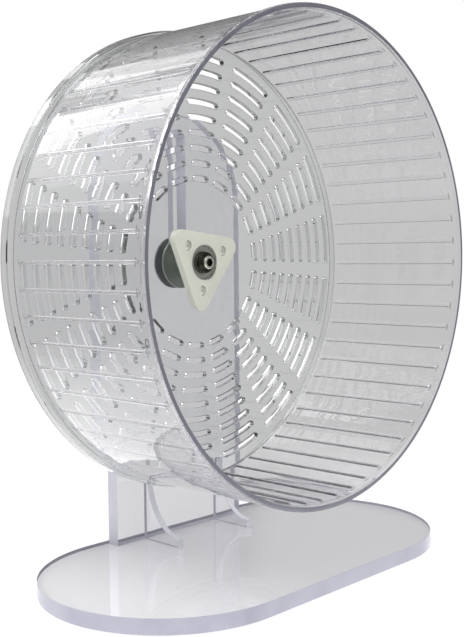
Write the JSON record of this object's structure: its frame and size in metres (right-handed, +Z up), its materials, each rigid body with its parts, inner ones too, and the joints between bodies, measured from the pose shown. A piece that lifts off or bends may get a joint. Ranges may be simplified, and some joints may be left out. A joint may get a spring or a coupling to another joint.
{
  "type": "hamster wheel",
  "caption": "Clear running wheel with a ribbed drum and slotted back disc, turning on a ball bearing whose axle slides in the slot of a clear upright on a flat base.",
  "frame": {"origin": "centre of the base plate's underside", "axes": "+Z up, +X along the base plate's length, the wheel's open front faces -Y and its axle lies along Y"},
  "size_m": [0.2644, 0.1436, 0.3032],
  "materials": {
    "clear_drum": "clear moulded plastic, glossy",
    "clear_disc": "clear plastic sheet, faintly grey, glossy",
    "clear_acrylic_sheet": "clear acrylic sheet with lavender-grey cut edges",
    "milky_plastic": "milky off-white moulded plastic, satin",
    "bearing_steel": "ground bearing steel",
    "shield_steel": "pressed steel, dull",
    "dark_steel": "blackened steel, oiled",
    "polished_steel": "turned and polished steel",
    "zinc_steel": "zinc-plated steel"
  },
  "bodies": {
    "stand": {"base_plate": "clear_acrylic_sheet", "upright": "clear_acrylic_sheet", "gusset_left": "clear_acrylic_sheet", "gusset_right": "clear_acrylic_sheet"},
    "carriage": {"axle": "dark_steel", "retaining_nut": "dark_steel", "bearing_inner_ring": "bearing_steel", "axle_spacer": "zinc_steel", "clamp_disc": "polished_steel", "rear_washer": "zinc_steel"},
    "wheel": {"running_wall": "clear_drum", "back_disc": "clear_disc", "hub_cap": "milky_plastic", "bearing_outer_ring": "bearing_steel", "front_shield": "shield_steel", "rear_shield": "shield_steel", "cap_screw_1": "zinc_steel", "cap_screw_2": "zinc_steel", "cap_screw_3": "zinc_steel", "cap_nut_1": "zinc_steel", "cap_nut_2": "zinc_steel", "cap_nut_3": "zinc_steel"},
    "ball_cage": {"bearing_cage": "shield_steel", "bearing_ball_1": "polished_steel", "bearing_ball_2": "polished_steel", "bearing_ball_3": "polished_steel", "bearing_ball_4": "polished_steel", "bearing_ball_5": "polished_steel", "bearing_ball_6": "polished_steel", "bearing_ball_7": "polished_steel"},
    "nut": {"clamp_nut": "zinc_steel"}
  },
  "joints": [
    {"name": "height_slide", "type": "slide", "parent": "stand", "child": "carriage", "axis": [0, 0, 1], "range_m": [0, 0.0735]},
    {"name": "wheel_spin", "type": "hinge", "parent": "carriage", "child": "wheel", "pos_m": [0, 0.0377, 0.171], "axis": [0, 1, 0], "continuous": true},
    {"name": "ball_cage_spin", "type": "hinge", "parent": "carriage", "child": "ball_cage", "pos_m": [0, 0.0377, 0.171], "axis": [0, 1, 0], "continuous": true},
    {"name": "clamp_nut_turn", "type": "hinge", "parent": "carriage", "child": "nut", "pos_m": [0, 0.0689, 0.171], "axis": [0, 1, 0], "range_deg": [0, 360]}
  ],
  "couplings": [
    {"joint": "ball_cage_spin", "follows": "wheel_spin", "ratio": 0.632}
  ]
}
